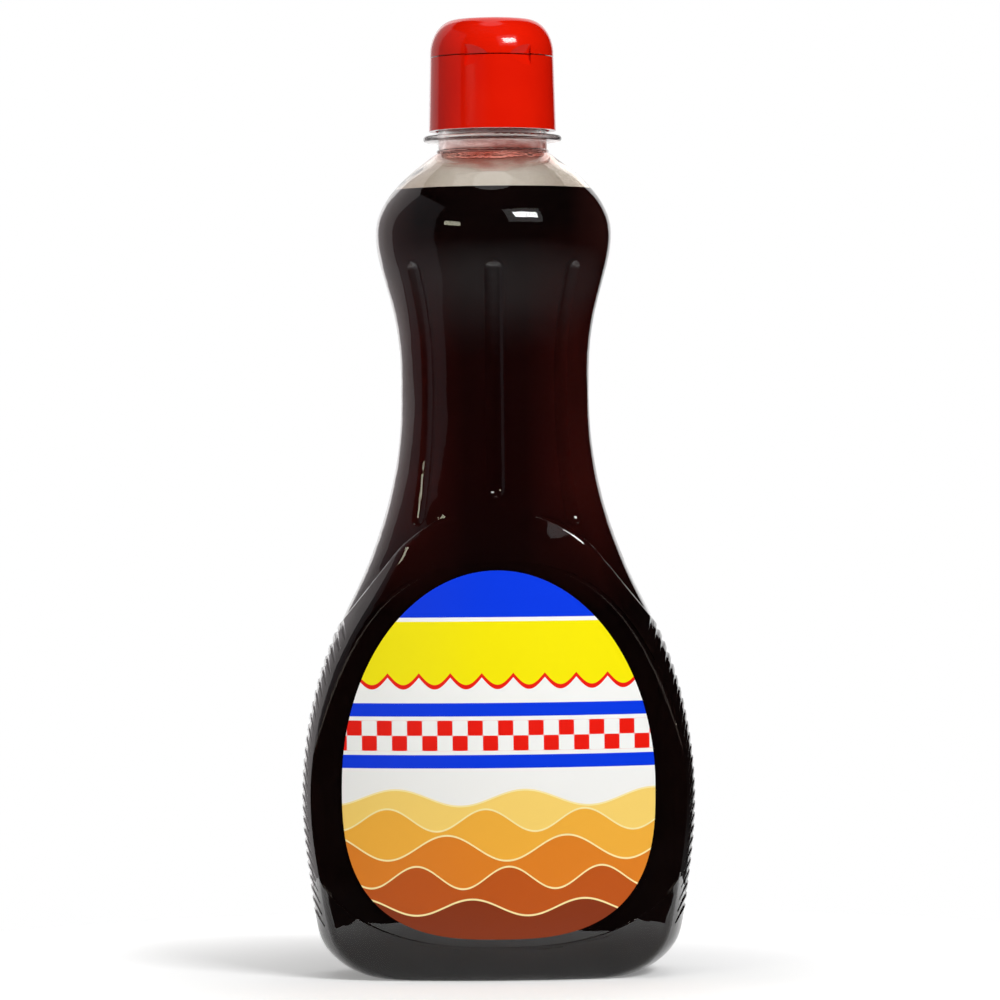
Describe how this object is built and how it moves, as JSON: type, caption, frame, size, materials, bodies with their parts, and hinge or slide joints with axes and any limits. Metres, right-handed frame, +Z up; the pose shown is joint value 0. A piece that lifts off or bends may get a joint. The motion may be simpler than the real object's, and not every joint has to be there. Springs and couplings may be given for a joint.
{
  "type": "syrup bottle",
  "caption": "Clear blow-moulded pancake syrup bottle with a fluted waist, oval ribbed body, paper label and a screw-on closure with a flip lid, filled with dark syrup.",
  "frame": {"origin": "centre of the base, on the surface the bottle stands on", "axes": "+Z up through the neck, -Y out of the labelled front, +X to the right of someone facing the label"},
  "size_m": [0.108, 0.0646, 0.2619],
  "materials": {
    "clear_plastic": "clear, glossy",
    "syrup": "dark, wet",
    "label": "printed paper, satin",
    "closure": "glossy red"
  },
  "bodies": {
    "bottle": {"bottle": "clear_plastic", "syrup": "syrup", "label": "label", "closure": "closure"},
    "lid": {"lid": "closure"}
  },
  "joints": [
    {"name": "lid_hinge", "type": "hinge", "parent": "bottle", "child": "lid", "pos_m": [-0.00203, 0.01784, 0.25135], "axis": [-0.9936, -0.1132, 0], "range_deg": [0, 170]}
  ]
}
